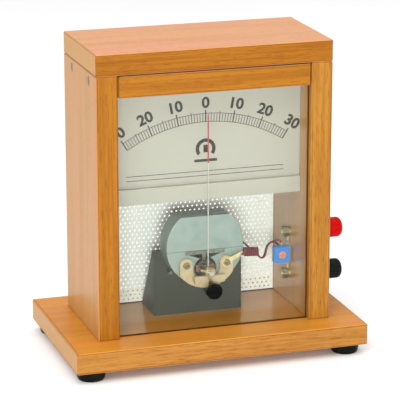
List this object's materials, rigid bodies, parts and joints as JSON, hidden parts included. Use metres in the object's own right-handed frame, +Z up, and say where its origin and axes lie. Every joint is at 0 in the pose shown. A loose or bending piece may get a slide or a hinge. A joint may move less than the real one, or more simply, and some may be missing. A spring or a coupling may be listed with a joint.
{
  "type": "galvanometer",
  "caption": "Bench moving-coil galvanometer in a glazed wooden case, with a centre-zero dial, long pointer, zero adjuster knob and two binding posts.",
  "frame": {"origin": "middle of the footprint, on the plane that the four rubber feet stand on", "axes": "+X to the right towards the terminals, +Y from the glass to the back, +Z up"},
  "size_m": [0.2535, 0.15, 0.2645],
  "materials": {
    "wood_board": "satin lacquered beech face",
    "dowel_wood": "plain beech dowel",
    "brass_screw": "dull bronze",
    "bright_steel": "bright plated",
    "foot_rubber": "matt black",
    "window_glass": "clear",
    "dial_white": "matt off-white",
    "sheet_white": "white perforated sheet",
    "bracket_paint": "dark hammer grey",
    "magnet_paint": "blue-grey, satin",
    "core_iron": "turned, oiled",
    "brass_part": "satin",
    "bridge_cream": "cream plated casting",
    "coil_copper": "enamelled copper wire",
    "alloy": "thin drawn tube",
    "tip_red": "red enamel",
    "weight_copper": "copper",
    "spring_bronze": "phosphor bronze strip",
    "knob_black": "black moulding",
    "cap_red": "red moulding",
    "cap_black": "black moulding",
    "trimmer_blue": "blue moulding",
    "trimmer_orange": "orange-red moulding",
    "lead_maroon": "maroon insulation",
    "lead_black": "black insulation"
  },
  "bodies": {
    "case": {"base_board": "wood_board", "left_side_panel": "wood_board", "right_side_panel": "wood_board", "top_board": "wood_board", "inner_top_board": "wood_board", "top_dowels": "dowel_wood", "side_screws": "brass_screw", "base_screws": "brass_screw", "rubber_feet": "foot_rubber", "foot_screws": "bright_steel", "front_glass": "window_glass", "scale_plate": "dial_white", "back_panel": "sheet_white", "back_panel_screws": "bright_steel", "magnet_bracket": "bracket_paint", "bracket_screws": "bright_steel", "magnet_block": "magnet_paint", "pole_piece_left": "magnet_paint", "pole_piece_right": "magnet_paint", "magnet_screws": "bright_steel", "core_bar": "brass_part", "iron_core": "core_iron", "front_bridge": "bridge_cream", "bridge_screws": "brass_screw", "front_jewel_screw": "bright_steel", "front_locknut": "brass_part", "rear_bridge": "bridge_cream", "rear_bridge_screws": "bright_steel", "rear_jewel_screw": "bright_steel", "rear_hairspring": "spring_bronze", "zero_bush": "knob_black", "zero_bush_nut": "brass_part", "red_post": "brass_part", "black_post": "brass_part", "red_collar": "cap_red", "black_collar": "cap_black", "post_nuts": "brass_screw", "solder_lugs": "brass_part", "trimmer_body": "trimmer_blue", "bridge_lug": "brass_part", "rear_lug": "brass_part", "red_lead": "lead_maroon", "black_lead": "lead_black"},
    "zero_adjuster": {"zero_knob": "knob_black", "zero_crank": "bright_steel"},
    "zero_lever": {"zero_lever": "brass_part", "front_hairspring": "spring_bronze"},
    "moving_coil": {"coil_former": "alloy", "coil_winding": "coil_copper", "front_shaft": "bright_steel", "rear_shaft": "bright_steel", "pointer": "alloy", "pointer_tip": "tip_red", "balance_weights": "weight_copper"},
    "red_cap_thread": {"red_cap_insert": "brass_part"},
    "red_cap_grip": {"red_cap": "cap_red"},
    "black_cap_thread": {"black_cap_insert": "brass_part"},
    "black_cap_grip": {"black_cap": "cap_black"},
    "trimmer_screw": {"trimmer_rotor": "trimmer_orange"}
  },
  "joints": [
    {"name": "knob_turn", "type": "hinge", "parent": "case", "child": "zero_adjuster", "pos_m": [0, -0.0431, 0.0585], "axis": [0, 1, 0], "range_deg": [-40, 40]},
    {"name": "lever_turn", "type": "hinge", "parent": "case", "child": "zero_lever", "pos_m": [0, -0.0365, 0.0715], "axis": [0, 1, 0], "range_deg": [-4, 4]},
    {"name": "pointer_swing", "type": "hinge", "parent": "zero_lever", "child": "moving_coil", "pos_m": [0, -0.0295, 0.0715], "axis": [0, 1, 0], "range_deg": [-33, 33], "stiffness_Nm_per_rad": 0.0003},
    {"name": "red_cap_travel", "type": "slide", "parent": "case", "child": "red_cap_thread", "axis": [1, 0, 0], "range_m": [0, 0.003]},
    {"name": "red_cap_turn", "type": "hinge", "parent": "red_cap_thread", "child": "red_cap_grip", "pos_m": [0.11, 0, 0.09], "axis": [1, 0, 0], "range_deg": [0, 1080]},
    {"name": "black_cap_travel", "type": "slide", "parent": "case", "child": "black_cap_thread", "axis": [1, 0, 0], "range_m": [0, 0.003]},
    {"name": "black_cap_turn", "type": "hinge", "parent": "black_cap_thread", "child": "black_cap_grip", "pos_m": [0.11, 0, 0.053], "axis": [1, 0, 0], "range_deg": [0, 1080]},
    {"name": "trimmer_turn", "type": "hinge", "parent": "case", "child": "trimmer_screw", "pos_m": [0.0735, -0.007, 0.0715], "axis": [0, 1, 0], "range_deg": [-135, 135]}
  ],
  "couplings": [
    {"joint": "lever_turn", "follows": "knob_turn", "ratio": 0.098},
    {"joint": "red_cap_turn", "follows": "red_cap_travel", "rad_per_m": 6283.2},
    {"joint": "black_cap_turn", "follows": "black_cap_travel", "rad_per_m": 6283.2}
  ]
}
